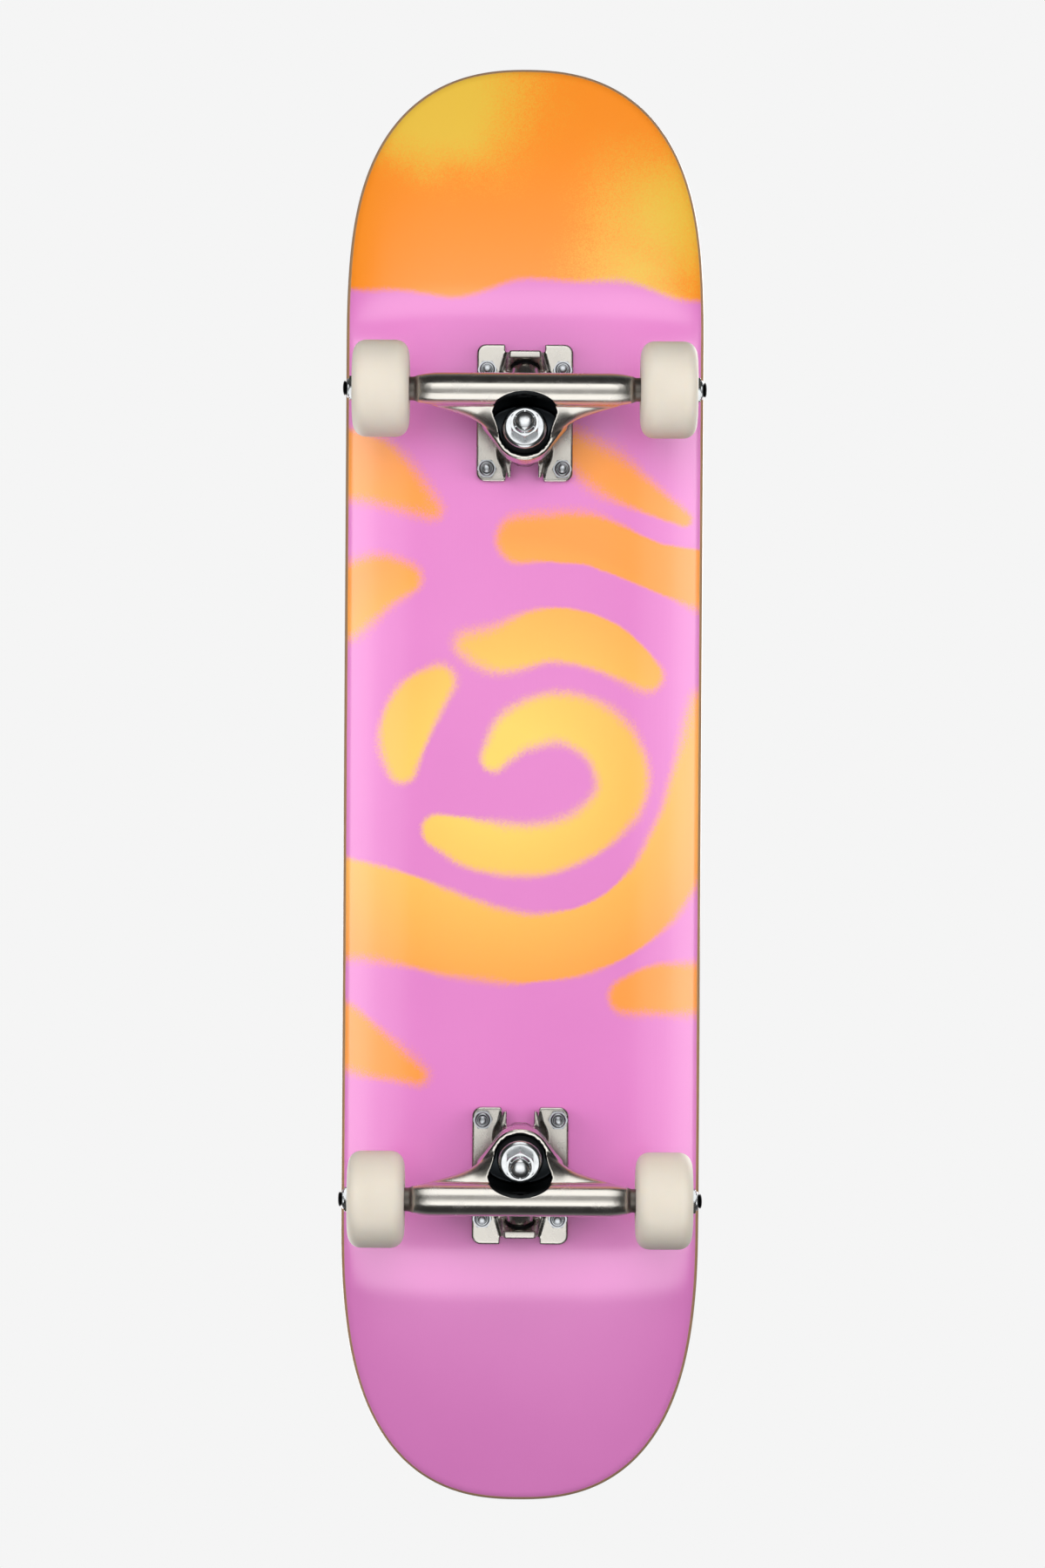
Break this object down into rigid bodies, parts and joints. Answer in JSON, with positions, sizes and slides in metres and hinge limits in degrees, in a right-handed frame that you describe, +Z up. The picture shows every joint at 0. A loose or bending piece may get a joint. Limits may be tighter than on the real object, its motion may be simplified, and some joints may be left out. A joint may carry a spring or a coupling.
{
  "type": "skateboard",
  "caption": "Street skateboard with a concave maple deck and kicks, grip tape, cast kingpin trucks on urethane bushings, and urethane wheels on ball bearings.",
  "frame": {"origin": "on the ground, under the middle of the length and width", "axes": "+X towards the nose, +Y to the left of a rider who faces the nose, +Z up"},
  "size_m": [0.8002, 0.1968, 0.1443],
  "materials": {
    "lacquered_maple": "pressed maple plies, pink and orange airbrushed underside under clear gloss lacquer",
    "grip_tape": "black silicon carbide grit on adhesive film",
    "zinc_plated_steel": "bright zinc plate",
    "machined_steel": "turned and ground steel",
    "cast_aluminium": "gravity-cast aluminium, tumbled and polished",
    "black_urethane": "satin cast urethane",
    "wheel_urethane": "matte cream cast urethane, slightly translucent",
    "bearing_steel": "ground and polished bearing steel",
    "cage_nylon": "natural moulded nylon"
  },
  "bodies": {
    "board": {"deck": "lacquered_maple", "grip_tape": "grip_tape", "mounting_bolts": "zinc_plated_steel", "mounting_nuts": "zinc_plated_steel", "front_baseplate": "cast_aluminium", "front_pivot_cup": "black_urethane", "front_kingpin": "machined_steel", "front_bottom_washer": "zinc_plated_steel", "front_board_bushing": "black_urethane", "front_road_bushing": "black_urethane", "front_top_washer": "zinc_plated_steel", "front_kingpin_nut": "zinc_plated_steel", "rear_baseplate": "cast_aluminium", "rear_pivot_cup": "black_urethane", "rear_kingpin": "machined_steel", "rear_bottom_washer": "zinc_plated_steel", "rear_board_bushing": "black_urethane", "rear_road_bushing": "black_urethane", "rear_top_washer": "zinc_plated_steel", "rear_kingpin_nut": "zinc_plated_steel"},
    "front_axle_body": {"front_hanger": "cast_aluminium", "front_axle": "machined_steel", "front_left_inner_rings": "bearing_steel", "front_left_spacer": "machined_steel", "front_left_speed_washers": "machined_steel", "front_left_axle_nut": "zinc_plated_steel", "front_right_inner_rings": "bearing_steel", "front_right_spacer": "machined_steel", "front_right_speed_washers": "machined_steel", "front_right_axle_nut": "zinc_plated_steel"},
    "front_left_wheel_body": {"front_left_wheel": "wheel_urethane", "front_left_outer_rings": "bearing_steel", "front_left_shields": "bearing_steel"},
    "front_left_ball_body": {"front_left_balls": "bearing_steel", "front_left_cages": "cage_nylon"},
    "front_right_wheel_body": {"front_right_wheel": "wheel_urethane", "front_right_outer_rings": "bearing_steel", "front_right_shields": "bearing_steel"},
    "front_right_ball_body": {"front_right_balls": "bearing_steel", "front_right_cages": "cage_nylon"},
    "rear_axle_body": {"rear_hanger": "cast_aluminium", "rear_axle": "machined_steel", "rear_left_inner_rings": "bearing_steel", "rear_left_spacer": "machined_steel", "rear_left_speed_washers": "machined_steel", "rear_left_axle_nut": "zinc_plated_steel", "rear_right_inner_rings": "bearing_steel", "rear_right_spacer": "machined_steel", "rear_right_speed_washers": "machined_steel", "rear_right_axle_nut": "zinc_plated_steel"},
    "rear_left_wheel_body": {"rear_left_wheel": "wheel_urethane", "rear_left_outer_rings": "bearing_steel", "rear_left_shields": "bearing_steel"},
    "rear_left_ball_body": {"rear_left_balls": "bearing_steel", "rear_left_cages": "cage_nylon"},
    "rear_right_wheel_body": {"rear_right_wheel": "wheel_urethane", "rear_right_outer_rings": "bearing_steel", "rear_right_shields": "bearing_steel"},
    "rear_right_ball_body": {"rear_right_balls": "bearing_steel", "rear_right_cages": "cage_nylon"}
  },
  "joints": [
    {"name": "front_steering", "type": "hinge", "parent": "board", "child": "front_axle_body", "pos_m": [0.18953, 0, 0.04205], "axis": [0.9066, 0, 0.4221], "range_deg": [-11, 11], "stiffness_Nm_per_rad": 60, "deforming": ["front_board_bushing", "front_road_bushing"]},
    {"name": "front_left_wheel_spin", "type": "hinge", "parent": "front_axle_body", "child": "front_left_wheel_body", "pos_m": [0.21179, 0.07725, 0.026], "axis": [0, 1, 0], "continuous": true},
    {"name": "front_left_ball_spin", "type": "hinge", "parent": "front_axle_body", "child": "front_left_ball_body", "pos_m": [0.21179, 0.07725, 0.026], "axis": [0, 1, 0], "continuous": true},
    {"name": "front_right_wheel_spin", "type": "hinge", "parent": "front_axle_body", "child": "front_right_wheel_body", "pos_m": [0.21179, -0.07725, 0.026], "axis": [0, 1, 0], "continuous": true},
    {"name": "front_right_ball_spin", "type": "hinge", "parent": "front_axle_body", "child": "front_right_ball_body", "pos_m": [0.21179, -0.07725, 0.026], "axis": [0, 1, 0], "continuous": true},
    {"name": "rear_steering", "type": "hinge", "parent": "board", "child": "rear_axle_body", "pos_m": [-0.20093, 0, 0.04205], "axis": [-0.9066, 0, 0.4221], "range_deg": [-11, 11], "stiffness_Nm_per_rad": 60, "deforming": ["rear_board_bushing", "rear_road_bushing"]},
    {"name": "rear_left_wheel_spin", "type": "hinge", "parent": "rear_axle_body", "child": "rear_left_wheel_body", "pos_m": [-0.22319, 0.07725, 0.026], "axis": [0, 1, 0], "continuous": true},
    {"name": "rear_left_ball_spin", "type": "hinge", "parent": "rear_axle_body", "child": "rear_left_ball_body", "pos_m": [-0.22319, 0.07725, 0.026], "axis": [0, 1, 0], "continuous": true},
    {"name": "rear_right_wheel_spin", "type": "hinge", "parent": "rear_axle_body", "child": "rear_right_wheel_body", "pos_m": [-0.22319, -0.07725, 0.026], "axis": [0, 1, 0], "continuous": true},
    {"name": "rear_right_ball_spin", "type": "hinge", "parent": "rear_axle_body", "child": "rear_right_ball_body", "pos_m": [-0.22319, -0.07725, 0.026], "axis": [0, 1, 0], "continuous": true}
  ],
  "couplings": [
    {"joint": "front_left_ball_spin", "follows": "front_left_wheel_spin", "ratio": 0.6314},
    {"joint": "front_right_ball_spin", "follows": "front_right_wheel_spin", "ratio": 0.6314},
    {"joint": "rear_left_ball_spin", "follows": "rear_left_wheel_spin", "ratio": 0.6314},
    {"joint": "rear_right_ball_spin", "follows": "rear_right_wheel_spin", "ratio": 0.6314}
  ]
}
